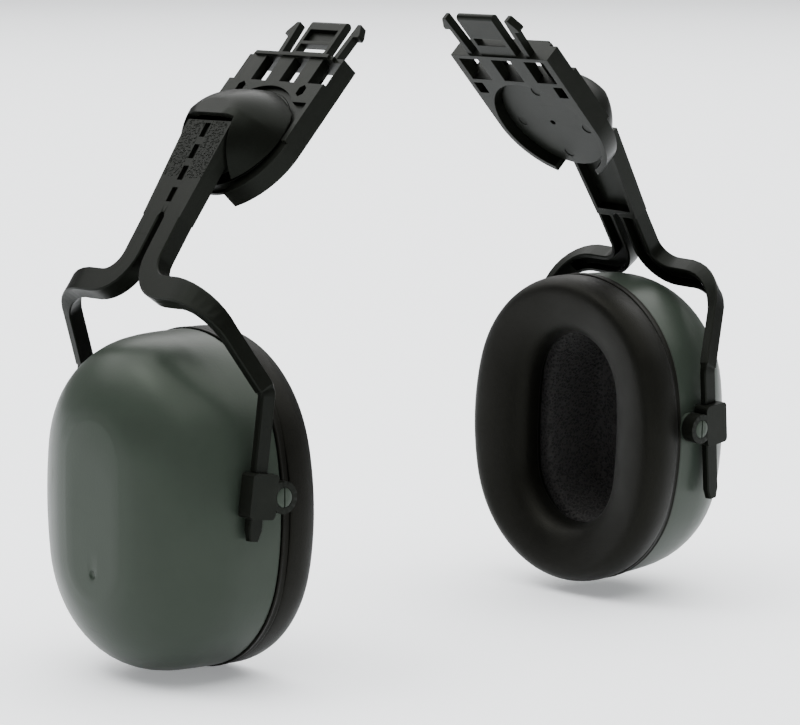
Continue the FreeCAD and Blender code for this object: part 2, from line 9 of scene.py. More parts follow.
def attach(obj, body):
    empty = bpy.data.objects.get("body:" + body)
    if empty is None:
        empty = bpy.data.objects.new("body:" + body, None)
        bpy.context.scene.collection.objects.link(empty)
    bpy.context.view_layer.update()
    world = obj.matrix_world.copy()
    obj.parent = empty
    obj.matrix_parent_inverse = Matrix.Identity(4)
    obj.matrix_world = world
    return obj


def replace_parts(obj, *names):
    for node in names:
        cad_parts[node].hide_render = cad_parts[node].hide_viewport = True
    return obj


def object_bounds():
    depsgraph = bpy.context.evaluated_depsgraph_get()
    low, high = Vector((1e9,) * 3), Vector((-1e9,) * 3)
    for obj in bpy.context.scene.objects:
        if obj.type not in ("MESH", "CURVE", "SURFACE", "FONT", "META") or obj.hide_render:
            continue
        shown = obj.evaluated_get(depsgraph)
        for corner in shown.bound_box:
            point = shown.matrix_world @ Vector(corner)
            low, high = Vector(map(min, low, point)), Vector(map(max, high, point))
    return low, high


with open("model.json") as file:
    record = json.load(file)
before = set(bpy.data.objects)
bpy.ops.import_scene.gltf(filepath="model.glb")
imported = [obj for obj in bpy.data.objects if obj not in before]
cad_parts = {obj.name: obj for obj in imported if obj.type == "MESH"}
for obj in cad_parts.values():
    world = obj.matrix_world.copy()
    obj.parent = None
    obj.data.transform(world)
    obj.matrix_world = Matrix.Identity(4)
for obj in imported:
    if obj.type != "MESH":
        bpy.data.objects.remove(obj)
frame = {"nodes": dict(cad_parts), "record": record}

CAD_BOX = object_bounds()
MM = 0.001
SIDES = ("left", "right")

# ------------------------------------------------------------------ sizes, millimetres, as in the part's source
adapter_lean = 43.0
arm_lean = 32.6
leg_splay = 5.95
hub_spread = 108.8
adapter_top = 30.5
slot_top_v = -33.4
slot_top_n = 8.6
pin_v = 9.5
pin_n = 8.3
arm_half_low = 8.1
arm_thickness = 5.6
arm_shoulder = 31.0
pocket_width = 2.3
kink_x = -3.09
kink_z = -43.7
lug_offset = 7.0
boss_radius = 4.2
boss_end_y = 38.9
stud_radius = 2.7
stud_end_y = 43.6
stud_slot_depth = 0.5
stud_slot_half = 0.27
rim_x = -3.5
rim_half_width = 38.2
rim_half_height = 47.5
rim_drop = 5.6
end_radius = 37.1
shell_depth = 35.5
shell_wall = 2.2
foam_wall = 9.0
gate_drop = 17.5
plate_thickness = 2.4
plate_collar = 4.0
cushion_half_width = 40.2
cushion_half_height = 48.2
ear_half_width = 18.2
ear_half_height = 29.6
shell_profile = [(0.0, 1.0), (0.12, 0.999), (0.26, 0.994), (0.40, 0.983), (0.54, 0.953),
                 (0.68, 0.888), (0.80, 0.785), (0.90, 0.635), (0.97, 0.460), (1.0, 0.30)]
REST = {"left": {"draw": 0.0, "hang": 28.0, "turn": 1.3, "tip": 2.0, "swing": 2.8, "shift": 3.7, "rise": -0.7},
        "right": {"draw": 10.4, "hang": 16.6, "turn": 3.1, "tip": 0.0, "swing": 0.0, "shift": -3.7, "rise": 0.7}}


# ------------------------------------------------------------------ places
def unit(angle, down=False):
    """Direction in the muff's X-Z plane that leans by the angle, in degrees, from the vertical."""
    a = math.radians(angle)
    return Vector((math.sin(a), 0, -math.cos(a))) if down else Vector((math.cos(a), 0, math.sin(a)))


def axes(x_axis, y_axis, z_axis, origin=(0, 0, 0)):
    """Matrix that carries X, Y and Z onto three directions at an origin, in millimetres."""
    m = Matrix((x_axis, y_axis, z_axis)).transposed().to_4x4()
    m.translation = Vector(origin)
    return m


plate_out = unit(adapter_lean)
plate_up = -unit(adapter_lean, True)
arm_out = unit(arm_lean)
arm_down = unit(arm_lean, True)
leg_out = unit(leg_splay)
leg_down = unit(leg_splay, True)
across = Vector((0, 1, 0))
PLATE = axes(across, plate_up, plate_out)
split_top = plate_up * slot_top_v + plate_out * slot_top_n
ARM = axes(across, -arm_down, arm_out, split_top)


def places(side):
    """Matrices from each local frame, in millimetres, to the row frame, in metres."""
    rest = REST[side]
    sign = -1 if side == "left" else 1
    muff = Matrix.Translation((sign * hub_spread / 2, rest["shift"], rest["rise"] - plate_up.z * adapter_top))
    if side == "left":
        muff = muff @ Matrix.Rotation(math.pi, 4, "Z")
    muff = Matrix.Scale(MM, 4) @ muff
    turn = Matrix.Rotation(math.radians(rest["turn"]), 4, plate_out)
    hinge = plate_up * pin_v + plate_out * pin_n
    swing = (Matrix.Translation(hinge) @ Matrix.Rotation(-math.radians(rest["swing"]), 4, "Y")
             @ Matrix.Translation(-hinge))
    draw = swing @ Matrix.Translation(arm_down * rest["draw"])
    stud = split_top + Vector((kink_x, 0, kink_z)) + leg_down * rest["hang"] - leg_out * lug_offset
    cup = Matrix.Translation(stud) @ Matrix.Rotation(math.radians(rest["tip"]), 4, "Y")
    return {"adapter": muff @ PLATE, "hub": muff @ turn @ PLATE, "cradle": muff @ turn @ swing @ PLATE,
            "yoke": muff @ turn @ draw @ ARM, "cup": muff @ turn @ draw @ cup}


PLACES = {side: places(side) for side in SIDES}


# ------------------------------------------------------------------ node trees
def link(tree, output, target):
    tree.links.new(output, target)


def add(tree, kind, **settings):
    node = tree.nodes.new(kind)
    for name, value in settings.items():
        setattr(node, name, value)
    return node


def maths(tree, operation, a, b=None, clamp=False):
    """Output of a Math node; each operand is a number or a socket."""
    node = add(tree, "ShaderNodeMath", operation=operation, use_clamp=clamp)
    for socket, value in zip(node.inputs, (a, b)):
        if value is None:
            continue
        if isinstance(value, (int, float)):
            socket.default_value = value
        else:
            link(tree, value, socket)
    return node.outputs[0]


def ramp(tree, factor, stops):
    node = add(tree, "ShaderNodeValToRGB")
    elements = node.color_ramp.elements
    while len(elements) < len(stops):
        elements.new(0.5)
    for element, (place, value) in zip(elements, stops):
        element.position = place
        element.color = (value, value, value, 1) if isinstance(value, (int, float)) else (*value, 1)
    link(tree, factor, node.inputs["Fac"])
    return node.outputs["Color"]


def mix_colour(tree, factor, a, b):
    node = add(tree, "ShaderNodeMix", data_type="RGBA")
    link(tree, factor, node.inputs["Factor"])
    for k, value in ((6, a), (7, b)):      # the two colour sockets of the node
        if isinstance(value, tuple):
            node.inputs[k].default_value = (*value, 1)
        else:
            link(tree, value, node.inputs[k])
    return node.outputs[2]


def new_group(name, inputs, outputs):
    """Shader node group with named sockets; inputs give (name, type, default)."""
    group = bpy.data.node_groups.new(name, "ShaderNodeTree")
    for label, kind, default in inputs:
        socket = group.interface.new_socket(name=label, in_out="INPUT", socket_type=kind)
        socket.default_value = default
    for label, kind in outputs:
        group.interface.new_socket(name=label, in_out="OUTPUT", socket_type=kind)
    start = group.nodes.new("NodeGroupInput")
    end = group.nodes.new("NodeGroupOutput")
    return group, start.outputs, end.inputs


FLOAT = "NodeSocketFloat"


def moulded_skin_group():
    """Fine spark-eroded texture of moulded plastic with slow waviness: a height and a mottling mask."""
    g, given, out = new_group("moulded skin",
                              [("Grain size", FLOAT, 0.4), ("Waviness", FLOAT, 0.3)],
                              [("Height", FLOAT), ("Mottle", FLOAT)])
    place = add(g, "ShaderNodeTexCoord").outputs["Object"]
    scale = maths(g, "DIVIDE", 1000.0, given["Grain size"])
    grain = add(g, "ShaderNodeTexNoise")
    grain.inputs["Detail"].default_value = 2.0
    link(g, place, grain.inputs["Vector"])
    link(g, scale, grain.inputs["Scale"])
    wave = add(g, "ShaderNodeTexNoise")
    wave.inputs["Scale"].default_value = 60.0
    wave.inputs["Detail"].default_value = 3.0
    link(g, place, wave.inputs["Vector"])
    height = maths(g, "ADD", maths(g, "MULTIPLY", wave.outputs["Fac"], given["Waviness"]), grain.outputs["Fac"])
    link(g, height, out["Height"])
    link(g, wave.outputs["Fac"], out["Mottle"])
    return g


def wear_group():
    """Rubbed edges and fine scratches: masks from the piece's edge attribute and stretched noise."""
    g, given, out = new_group("rubbed edges",
                              [("Edge wear", FLOAT, 0.5), ("Scratches", FLOAT, 0.3)],
                              [("Edge", FLOAT), ("Scratch", FLOAT)])
    place = add(g, "ShaderNodeTexCoord").outputs["Object"]
    edge = add(g, "ShaderNodeAttribute", attribute_name="edge")
    patchy = add(g, "ShaderNodeTexNoise")
    patchy.inputs["Scale"].default_value = 350.0
    patchy.inputs["Detail"].default_value = 4.0
    link(g, place, patchy.inputs["Vector"])
    worn = maths(g, "MULTIPLY", edge.outputs["Fac"], patchy.outputs["Fac"])
    link(g, maths(g, "MULTIPLY", worn, given["Edge wear"], clamp=True), out["Edge"])
    stretch = add(g, "ShaderNodeMapping")
    stretch.inputs["Scale"].default_value = (900.0, 60.0, 90.0)
    stretch.inputs["Rotation"].default_value = (0.4, 0.7, 0.3)
    link(g, place, stretch.inputs["Vector"])
    lines = add(g, "ShaderNodeTexNoise")
    lines.inputs["Scale"].default_value = 1.0
    lines.inputs["Detail"].default_value = 1.0
    link(g, stretch.outputs["Vector"], lines.inputs["Vector"])
    thin = ramp(g, lines.outputs["Fac"], [(0.0, 0.0), (0.70, 0.0), (0.74, 1.0)])
    link(g, maths(g, "MULTIPLY", thin, given["Scratches"], clamp=True), out["Scratch"])
    return g


def vinyl_group():
    """Leather-like grain: cells warped so that they run into each other, and fine pores."""
    g, given, out = new_group("vinyl grain",
                              [("Cell size", FLOAT, 1.0)],
                              [("Height", FLOAT), ("Mottle", FLOAT)])
    place = add(g, "ShaderNodeTexCoord").outputs["Object"]
    warp = add(g, "ShaderNodeTexNoise")
    warp.inputs["Scale"].default_value = 400.0
    link(g, place, warp.inputs["Vector"])
    bent = add(g, "ShaderNodeVectorMath", operation="MULTIPLY_ADD")
    link(g, warp.outputs["Color"], bent.inputs[0])
    bent.inputs[1].default_value = (0.0006, 0.0006, 0.0006)
    link(g, place, bent.inputs[2])
    cells = add(g, "ShaderNodeTexVoronoi", feature="DISTANCE_TO_EDGE")
    link(g, bent.outputs[0], cells.inputs["Vector"])
    link(g, maths(g, "DIVIDE", 1000.0, given["Cell size"]), cells.inputs["Scale"])
    ridge = ramp(g, cells.outputs["Distance"], [(0.0, 0.0), (0.25, 0.8), (0.6, 1.0)])
    pores = add(g, "ShaderNodeTexNoise")
    pores.inputs["Scale"].default_value = 4000.0
    link(g, place, pores.inputs["Vector"])
    slow = add(g, "ShaderNodeTexNoise")
    slow.inputs["Scale"].default_value = 90.0
    slow.inputs["Detail"].default_value = 3.0
    link(g, place, slow.inputs["Vector"])
    height = maths(g, "ADD", ridge, maths(g, "MULTIPLY", pores.outputs["Fac"], 0.4))
    link(g, height, out["Height"])
    link(g, slow.outputs["Fac"], out["Mottle"])
    return g


def foam_group():
    """Open cells of foam: pits with thin walls between them; the pit mask gives the bump and also painted shade
    that darkens the pits.
    """
    g, given, out = new_group("open cells", [("Cell size", FLOAT, 0.9)], [("Height", FLOAT), ("Painted pit shade", FLOAT)])
    place = add(g, "ShaderNodeTexCoord").outputs["Object"]
    cells = add(g, "ShaderNodeTexVoronoi", feature="F1")
    link(g, place, cells.inputs["Vector"])
    link(g, maths(g, "DIVIDE", 1000.0, given["Cell size"]), cells.inputs["Scale"])
    pit_depth_and_shade = ramp(g, cells.outputs["Distance"], [(0.0, 0.0), (0.35, 0.35), (0.6, 1.0)])
    link(g, pit_depth_and_shade, out["Height"])
    link(g, pit_depth_and_shade, out["Painted pit shade"])
    return g


SKIN = moulded_skin_group()
WEAR = wear_group()
VINYL = vinyl_group()
FOAM = foam_group()


def use(tree, group, **values):
    node = add(tree, "ShaderNodeGroup", node_tree=group)
    for name, value in values.items():
        node.inputs[name.replace("_", " ")].default_value = value
    return node.outputs


def plastic(name, dark, light, gloss, rough, grain, waviness, bump, wear, scratches, worn):
    """Moulded plastic: mottled between two colours, fine grain, edges rubbed towards a third."""
    material = bpy.data.materials.new(name)
    material.use_nodes = True
    t = material.node_tree
    shader = t.nodes["Principled BSDF"]
    skin = use(t, SKIN, Grain_size=grain, Waviness=waviness)
    rub = use(t, WEAR, Edge_wear=wear, Scratches=scratches)
    base = mix_colour(t, skin["Mottle"], dark, light)
    colour = mix_colour(t, rub["Edge"], base, worn)
    link(t, colour, shader.inputs["Base Color"])
    spread = maths(t, "MULTIPLY_ADD", skin["Mottle"], 0.10)
    spread.node.inputs[2].default_value = rough - 0.05
    roughness = maths(t, "ADD", spread, maths(t, "MULTIPLY", rub["Scratch"], 0.12))
    link(t, roughness, shader.inputs["Roughness"])
    height = maths(t, "SUBTRACT", skin["Height"], rub["Scratch"])
    relief = add(t, "ShaderNodeBump")
    relief.inputs["Strength"].default_value = bump
    relief.inputs["Distance"].default_value = 0.00006
    link(t, height, relief.inputs["Height"])
    link(t, relief.outputs["Normal"], shader.inputs["Normal"])
    shader.inputs["Specular IOR Level"].default_value = gloss
    shader.inputs["Specular Tint"].default_value = (0.90, 1.0, 0.86, 1)
    return material


def vinyl(name):
    material = bpy.data.materials.new(name)
    material.use_nodes = True
    t = material.node_tree
    shader = t.nodes["Principled BSDF"]
    grain = use(t, VINYL, Cell_size=0.55)
    colour = mix_colour(t, grain["Mottle"], (0.0012, 0.0012, 0.0009), (0.0022, 0.0022, 0.0016))
    link(t, colour, shader.inputs["Base Color"])
    link(t, ramp(t, grain["Mottle"], [(0.3, 0.44), (0.7, 0.54)]), shader.inputs["Roughness"])
    relief = add(t, "ShaderNodeBump")
    relief.inputs["Strength"].default_value = 0.35
    relief.inputs["Distance"].default_value = 0.00007
    link(t, grain["Height"], relief.inputs["Height"])
    link(t, relief.outputs["Normal"], shader.inputs["Normal"])
    shader.inputs["Specular IOR Level"].default_value = 0.09
    shader.inputs["Specular Tint"].default_value = (1.0, 1.0, 0.86, 1)
    shader.inputs["Sheen Weight"].default_value = 0.03
    shader.inputs["Sheen Roughness"].default_value = 0.4
    return material


def foam(name):
    material = bpy.data.materials.new(name)
    material.use_nodes = True
    t = material.node_tree
    shader = t.nodes["Principled BSDF"]
    cells = use(t, FOAM, Cell_size=0.9)
    # painted shade: the colour is darkest in the middle of each foam cell's pit and lighter on the walls between
    # them
    colour = mix_colour(t, cells["Painted pit shade"], (0.006, 0.006, 0.006), (0.022, 0.021, 0.020))
    link(t, colour, shader.inputs["Base Color"])
    shader.inputs["Roughness"].default_value = 0.95
    relief = add(t, "ShaderNodeBump")
    relief.inputs["Strength"].default_value = 0.9
    relief.inputs["Distance"].default_value = 0.0004
    link(t, cells["Height"], relief.inputs["Height"])
    link(t, relief.outputs["Normal"], shader.inputs["Normal"])
    return material


def steel(name):
    material = bpy.data.materials.new(name)
    material.use_nodes = True
    t = material.node_tree
    shader = t.nodes["Principled BSDF"]
    skin = use(t, SKIN, Grain_size=0.25, Waviness=0.5)
    link(t, mix_colour(t, skin["Mottle"], (0.42, 0.42, 0.43), (0.60, 0.60, 0.60)), shader.inputs["Base Color"])
    link(t, ramp(t, skin["Mottle"], [(0.3, 0.28), (0.7, 0.42)]), shader.inputs["Roughness"])
    shader.inputs["Metallic"].default_value = 1.0
    relief = add(t, "ShaderNodeBump")
    relief.inputs["Strength"].default_value = 0.15
    relief.inputs["Distance"].default_value = 0.00004
    link(t, skin["Height"], relief.inputs["Height"])
    link(t, relief.outputs["Normal"], shader.inputs["Normal"])
    return material


MATERIALS = {
    "black_plastic": plastic("black_plastic", (0.0019, 0.0021, 0.0016), (0.0034, 0.0038, 0.0029), 0.07, 0.36,
                             0.35, 0.5, 0.35, 0.5, 0.35, (0.014, 0.015, 0.012)),
    "grey_plastic": plastic("grey_plastic", (0.0175, 0.0235, 0.0178), (0.0235, 0.0305, 0.0236), 0.14, 0.36,
                            0.9, 0.6, 0.30, 0.3, 0.25, (0.05, 0.062, 0.05)),
    "cushion_skin": vinyl("cushion_skin"),
    "foam": foam("foam"),
    "steel": steel("steel"),
}


def finish_as(obj, slot):
    """Gives a piece its material and the record's slot."""
    obj.data.materials.clear()
    obj.data.materials.append(MATERIALS[slot])
    for face in obj.data.polygons:
        face.material_index = 0


for entry in frame["record"]["subparts"]:
    finish_as(frame["nodes"][entry["node"]], entry["material_slot"])


# ------------------------------------------------------------------ mesh work
def piece(name, mesh, slot, body):
    """A finished piece: smooth mesh in the row frame that takes its slot's material and rides on a body."""
    obj = bpy.data.objects.new(name, mesh)
    bpy.context.scene.collection.objects.link(obj)
    finish_as(obj, slot)
    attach(obj, body)
    return obj


def settled(obj, name):
    """The object's mesh with its modifiers applied; the object itself is removed."""
    graph = bpy.context.evaluated_depsgraph_get()
    mesh = bpy.data.meshes.new_from_object(obj.evaluated_get(graph))
    mesh.name = name
    old = obj.data
    bpy.data.objects.remove(obj)
    bpy.data.meshes.remove(old)
    return mesh


def temporary(mesh):
    obj = bpy.data.objects.new("working", mesh)
    bpy.context.scene.collection.objects.link(obj)
    return obj


def shade_by_angle(mesh, degrees):
    """Smooth shading, with edges sharper than the angle kept sharp."""
    bm = bmesh.new()
    bm.from_mesh(mesh)
    limit = math.radians(degrees)
    for face in bm.faces:
        face.smooth = True
    for edge in bm.edges:
        edge.smooth = not (len(edge.link_faces) == 2 and edge.calc_face_angle(0.0) > limit)
    bm.to_mesh(mesh)
    bm.free()


def mark_edges(mesh):
    """Writes the point attribute that the wear group reads: high on narrow rounded edges."""
    bm = bmesh.new()
    bm.from_mesh(mesh)
    values = []
    for vertex in bm.verts:
        bend = [e.calc_face_angle(0.0) for e in vertex.link_edges if len(e.link_faces) == 2]
        values.append(min(max(max(bend, default=0.0) - 0.25, 0.0) / 0.5, 1.0))
    bm.free()
    attribute = mesh.attributes.new("edge", "FLOAT", "POINT")
    attribute.data.foreach_set("value", values)


def moulding(side, role, slot, body, width):
    """A CAD node's shape with its edges rounded as moulded plastic has them."""
    node = side + "_" + role
    source = frame["nodes"][node].data
    bm = bmesh.new()
    bm.from_mesh(source)
    bmesh.ops.remove_doubles(bm, verts=bm.verts, dist=2e-5)
    bmesh.ops.dissolve_limit(bm, angle_limit=math.radians(0.6), verts=bm.verts, edges=bm.edges)
    bmesh.ops.connect_verts_concave(bm, faces=bm.faces)
    mesh = bpy.data.meshes.new(node)
    bm.to_mesh(mesh)
    bm.free()
    work = temporary(mesh)
    bevel = work.modifiers.new("rounding", "BEVEL")
    bevel.width = width * MM
    bevel.segments = 2
    bevel.limit_method = "ANGLE"
    bevel.angle_limit = math.radians(30)
    bevel.use_clamp_overlap = True
    bevel.miter_outer = "MITER_ARC"
    mesh = settled(work, node + "_rounded")
    shade_by_angle(mesh, 38)
    mark_edges(mesh)
    work = temporary(mesh)
    level = work.modifiers.new("flat faces", "WEIGHTED_NORMAL")
    level.mode = "FACE_AREA"
    level.keep_sharp = True
    mesh = settled(work, node + "_moulding")
    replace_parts(piece(node + "_moulding", mesh, slot, body), node)


def oval_ring(a, b, radius, corner_steps=28, side_steps=10):
    """Points round a closed outline of four tangent arcs, y and z, always the same number."""
    radius = min(radius, a - 0.4)
    flat = ((b - radius) ** 2 - (a - radius) ** 2) / (2 * (a - radius))
    rise = b - radius
    swing = math.atan2(rise, flat)
    points = []

    def arc(centre_y, centre_z, r, start, end, steps):
        for k in range(steps):
            t = start + (end - start) * k / steps
            points.append((centre_y + r * math.cos(t), centre_z + r * math.sin(t)))
    arc(-flat, 0, a + flat, -swing, swing, side_steps)
    arc(0, rise, radius, swing, math.pi - swing, corner_steps)
    arc(flat, 0, a + flat, math.pi - swing, math.pi + swing, side_steps)
    arc(0, -rise, radius, math.pi + swing, 2 * math.pi - swing, corner_steps)
    return points


def loop_through(values, steps):
    """Smooth curve through tuples of numbers, ends included."""
    out = []
    last = len(values) - 1
    for i in range(last):
        p0, p1, p2, p3 = values[max(i - 1, 0)], values[i], values[i + 1], values[min(i + 2, last)]
        for k in range(steps):
            t = k / steps
            out.append(tuple(0.5 * (2 * b + (c - a) * t + (2 * a - 5 * b + 4 * c - d) * t * t
                                    + (3 * b - a - 3 * c + d) * t ** 3) for a, b, c, d in zip(p0, p1, p2, p3)))
    out.append(tuple(values[-1]))
    return out


def skin_rings(name, rings, place, close_start=None, close_end=None, joined=False):
    """Closed surface over rings of points; each end is a centre point or is joined to the other end."""
    bm = bmesh.new()
    rows = [[bm.verts.new(place @ Vector(p)) for p in ring] for ring in rings]
    count = len(rows[0])
    pairs = list(zip(rows, rows[1:]))
    if joined:
        pairs.append((rows[-1], rows[0]))
    for low, high in pairs:
        for k in range(count):
            m = (k + 1) % count
            bm.faces.new((low[k], low[m], high[m], high[k]))
    for row, centre in ((rows[0], close_start), (rows[-1], close_end)):
        if centre is None:
            continue
        tip = bm.verts.new(place @ Vector(centre))
        for k in range(count):
            bm.faces.new((row[k], row[(k + 1) % count], tip))
    bmesh.ops.recalc_face_normals(bm, faces=bm.faces)
    for face in bm.faces:
        face.smooth = True
    mesh = bpy.data.meshes.new(name)
    bm.to_mesh(mesh)
    bm.free()
    return mesh


def cup_ring(x, a, b, steps=28, side_steps=10):
    radius = end_radius * a / rim_half_width
    return [(x, y, z - rim_drop) for y, z in oval_ring(a, b, radius, steps, side_steps)]


def shell_mesh(name, place):
    """Cup shell: smooth outside with a crisp rim, a gate mark low on its face, and an inside."""
    outer = []
    for share, k in loop_through(shell_profile, 4):
        a = rim_half_width * k
        outer.append((rim_x + shell_depth * share, a, rim_half_height - 0.85 * rim_half_width * (1 - k)))
    lip = 0.35
    rings = [cup_ring(rim_x, outer[0][1] - lip, outer[0][2] - lip)]
    rings.append(cup_ring(rim_x + 0.12, outer[0][1] - 0.1, outer[0][2] - 0.1))
    rings += [cup_ring(x + (lip if k == 0 else 0), a, b) for k, (x, a, b) in enumerate(outer)]
    x, a, b = outer[-1]
    for shrink in (0.72, 0.45, 0.22):
        lower = gate_drop * 1.1 * (1 - shrink)
        rings.append([(x + 0.05 * (1 - shrink), y * shrink, (z + rim_drop) * shrink - rim_drop - lower)
                      for _, y, z in cup_ring(x, a, b)])
    gate = []
    for radius, depth in ((1.5, 0.05), (1.3, 0.0), (1.1, -0.32), (0.45, -0.38)):
        ring = []
        for _, y, z in cup_ring(x, a, b):
            turn = math.atan2(z + rim_drop, y)
            ring.append((x + depth, radius * math.cos(turn), radius * math.sin(turn) - rim_drop - gate_drop))
        gate.append(ring)
    rings += gate
    inner = []
    for px, pa, pb in outer[::3]:
        share = (px - rim_x) / shell_depth
        inset = shell_wall * (1 + 0.6 * share)
        inner.append(cup_ring(rim_x + share * (shell_depth - shell_wall), pa - inset, pb - inset))
    rings = list(reversed(inner)) + rings
    first = rings[0][0][0]
    return skin_rings(name, rings, place, (first, 0, -rim_drop), (x - 0.38, 0, -rim_drop - gate_drop))


def between(t, x):
    """Ring on the cushion: t runs from its outer outline, 0, to the edge of the ear's opening, 1."""
    a = cushion_half_width + (ear_half_width - cushion_half_width) * t
    b = cushion_half_height + (ear_half_height - cushion_half_height) * t
    outer_radius = end_radius * cushion_half_width / rim_half_width
    inner_radius = end_radius * ear_half_width / rim_half_width
    radius = outer_radius + (inner_radius - outer_radius) * t
    return [(x, y, z - rim_drop) for y, z in oval_ring(a, b, radius, 30, 14)]


CUSHION_SECTION = [(0.075, 0.0), (0.035, 0.5), (0.012, 2.0), (0.0, 4.6), (0.012, 7.0), (0.055, 9.2), (0.135, 10.9),
                   (0.24, 11.6), (0.37, 11.45), (0.52, 10.9), (0.67, 10.1), (0.80, 9.1), (0.905, 7.6),
                   (0.975, 5.4), (1.0, 2.8), (1.0, 0.6)]


def cushion_mesh(name, place, shrink=0.0):
    """Crowned closed ring, highest near its outer edge and sloping in to the ear's opening."""
    back_x = rim_x - plate_thickness
    rings = []
    for t, depth in loop_through(CUSHION_SECTION, 3):
        rings.append(between(t * (1 - 0.03 * shrink) + 0.015 * shrink, back_x - max(depth - shrink * 0.6, 0.0)))
    return skin_rings(name, rings, place, joined=True)


def puffed(mesh, name, place, cap):
    """The cushion filled by pressure: a few frames of cloth, each point held within the cap."""
    start = [v.co.copy() for v in mesh.vertices]
    inward = place.inverted()
    work = temporary(mesh)
    group = work.vertex_groups.new(name="held")
    held = [v.index for v in mesh.vertices if (inward @ v.co).x > rim_x - plate_thickness - 1.6]
    group.add(held, 1.0, "REPLACE")
    cloth = work.modifiers.new("fill", "CLOTH")
    cloth.settings.quality = 4
    cloth.settings.mass = 0.2
    cloth.settings.tension_stiffness = 12
    cloth.settings.compression_stiffness = 12
    cloth.settings.shear_stiffness = 6
    cloth.settings.bending_stiffness = 0.3
    cloth.settings.use_pressure = True
    cloth.settings.uniform_pressure_force = 4.0
    cloth.settings.effector_weights.gravity = 0.0
    cloth.settings.vertex_group_mass = "held"
    cloth.point_cache.frame_start = 1
    cloth.point_cache.frame_end = 20
    scene = bpy.context.scene
    for number in range(1, 21):
        scene.frame_set(number)
    filled = settled(work, name)
    limit = cap * MM
    for vertex, before in zip(filled.vertices, start):
        move = vertex.co - before
        if move.length > limit:
            vertex.co = before + move * (limit / move.length)
    scene.frame_set(1)
    return filled


def foam_mesh(name, place):
    """Foam lining: a soft-edged pocket for the ear, seen through the cushion's opening."""
    floor_x = rim_x + shell_depth - shell_wall - foam_wall
    top_x = rim_x + plate_collar
    section = [(floor_x + 4, 6.0), (top_x + 8, 10.0), (top_x + 0.4, 9.5), (top_x, 8.0), (top_x, 4.0),
               (top_x + 0.5, 1.6), (top_x + 2.5, 0.7), (top_x + 9.0, 0.2), (floor_x - 3.0, -0.9),
               (floor_x - 0.8, -2.2), (floor_x, -4.5)]
    rings = []
    for x, extra in loop_through(section, 4):
        ring = []
        for _, y, z in cup_ring(x, ear_half_width + 1 + extra, ear_half_height + 1 + extra):
            swell = noise.noise(Vector((x, y, z)) * 0.16)
            ring.append((x + swell * 0.25, y * (1 + swell * 0.01), z + swell * 0.2))
        rings.append(ring)
    last = cup_ring(floor_x, ear_half_width - 3.5, ear_half_height - 3.5)
    for shrink in (0.8, 0.6, 0.4, 0.2):
        rings.append([(floor_x + noise.noise(Vector((y, z, shrink)) * 0.15) * 0.3, y * shrink,
                       (z + rim_drop) * shrink - rim_drop) for _, y, z in last])
    return skin_rings(name, rings, place, (floor_x + 4, 0, -rim_drop), (floor_x, 0, -rim_drop))


def flange_mesh(name, place):
    """Thin vinyl lip that covers the backplate's edge, next to the shell's rim."""
    section = [(-1.3, -0.35), (0.05, -0.15), (0.38, -0.22), (0.50, -0.55), (0.32, -0.95), (0.30, -1.6),
               (0.45, -2.3), (0.2, -2.6), (-1.3, -2.5)]
    rings = [cup_ring(rim_x + x, rim_half_width + out, rim_half_height + out)
             for out, x in loop_through(section, 3)]
    return skin_rings(name, rings, place, joined=True)


def turned(name, profile, place, steps=56):
    """Solid of revolution about Y: (radius, y) pairs with a centre point at each end."""
    turns = [2 * math.pi * k / steps for k in range(steps)]
    rings = [[(r * math.cos(turn), y, r * math.sin(turn)) for turn in turns] for r, y in profile]
    return skin_rings(name, rings, place, (0, profile[0][1], 0), (0, profile[-1][1], 0))


def box_mesh(name, low, high, place):
    bm = bmesh.new()
    bmesh.ops.create_cube(bm, size=1.0)
    for vertex in bm.verts:
        vertex.co = place @ Vector([low[k] if vertex.co[k] < 0 else high[k] for k in range(3)])
    bmesh.ops.recalc_face_normals(bm, faces=bm.faces)
    mesh = bpy.data.meshes.new(name)
    bm.to_mesh(mesh)
    bm.free()
    return mesh


def stud_mesh(name, side, place):
    """Boss and slotted stud on one side of the shell."""
    boss, end = boss_radius, boss_end_y
    stud, tip = stud_radius, stud_end_y
    profile = [(boss, end - 2.9), (boss, end - 0.25), (boss - 0.07, end - 0.08), (boss - 0.25, end),
               (stud + 0.08, end), (stud, end + 0.1), (stud, tip - 0.3), (stud - 0.07, tip - 0.1),
               (stud - 0.25, tip), (1.2, tip)]
    body = temporary(turned(name, [(r, side * y) for r, y in profile], place))
    near, far = sorted((side * (tip - stud_slot_depth), side * (tip + 1.4)))
    tool = temporary(box_mesh("slot tool", (-stud_slot_half, near, -4.0), (stud_slot_half, far, 4.0), place))
    cut = body.modifiers.new("slot", "BOOLEAN")
    cut.operation = "DIFFERENCE"
    cut.solver = "EXACT"
    cut.object = tool
    mesh = settled(body, name)
    spare = tool.data
    bpy.data.objects.remove(tool)
    bpy.data.meshes.remove(spare)
    shade_by_angle(mesh, 35)
    mark_edges(mesh)
    return mesh


def join_meshes(name, meshes):
    bm = bmesh.new()
    for mesh in meshes:
        bm.from_mesh(mesh)
        bpy.data.meshes.remove(mesh)
    joined = bpy.data.meshes.new(name)
    bm.to_mesh(joined)
    bm.free()
    return joined


